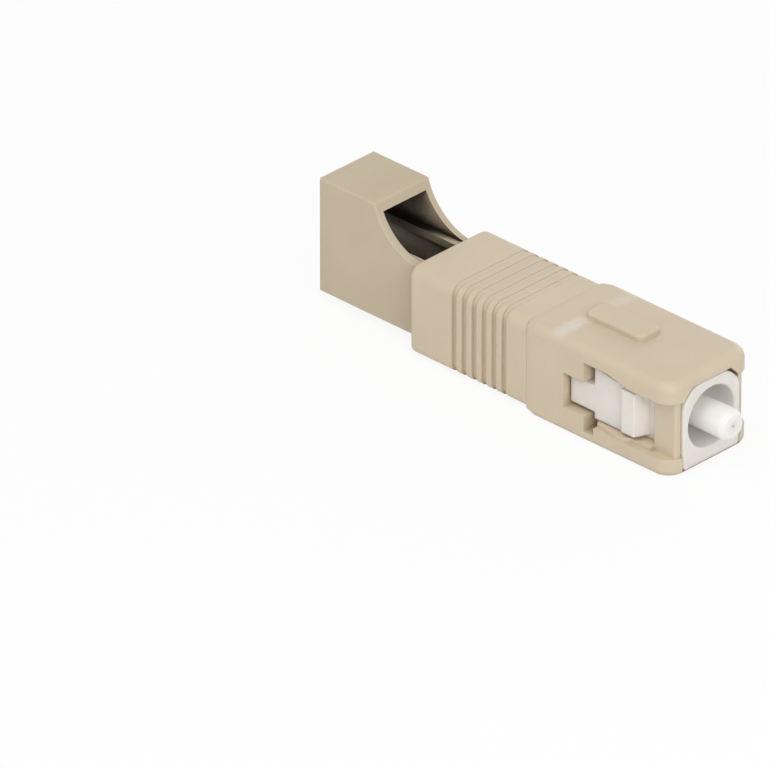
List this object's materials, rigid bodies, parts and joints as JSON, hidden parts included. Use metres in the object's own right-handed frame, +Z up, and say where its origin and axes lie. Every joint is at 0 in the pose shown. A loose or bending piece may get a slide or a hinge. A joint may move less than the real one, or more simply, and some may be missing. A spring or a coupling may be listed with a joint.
{
  "type": "hybrid fibre adapter",
  "caption": "Push-pull square plug with a floating ceramic ferrule at one end and a latched small-form port with a saddle-cut roof at the other, joining two sizes of fibre connector.",
  "frame": {"origin": "on the optical axis, in the plane of the outer housing's nose", "axes": "+X along the optical axis towards the plug ferrule's tip, +Z up on the side of the polarising key, +Y to the left seen from behind looking along +X"},
  "size_m": [0.0399, 0.009, 0.0106],
  "materials": {
    "beige_plastic": "satin moulded beige plastic",
    "port_plastic": "satin moulded beige plastic, a little greyer",
    "white_plastic": "smooth moulded white plastic",
    "zirconia": "ground white ceramic",
    "plated_metal": "turned and plated metal",
    "spring_steel": "drawn spring wire",
    "fibre_glass": "clear glass fibre"
  },
  "bodies": {
    "core": {"port_body": "port_plastic", "plug_frame": "white_plastic", "sleeve_holder": "port_plastic", "split_sleeve": "zirconia", "ferrule_spring": "spring_steel"},
    "housing": {"outer_housing": "beige_plastic"},
    "optical_line": {"plug_ferrule": "zirconia", "ferrule_flange": "plated_metal", "stub_ferrule": "zirconia", "glass_fibre": "fibre_glass"}
  },
  "joints": [
    {"name": "housing_slide", "type": "slide", "parent": "core", "child": "housing", "axis": [-1, 0, 0], "range_m": [0, 0.0009]},
    {"name": "ferrule_float", "type": "slide", "parent": "core", "child": "optical_line", "axis": [-1, 0, 0], "range_m": [0, 0.0009], "stiffness_N_per_m": 2500, "deforming": ["ferrule_spring"]}
  ]
}
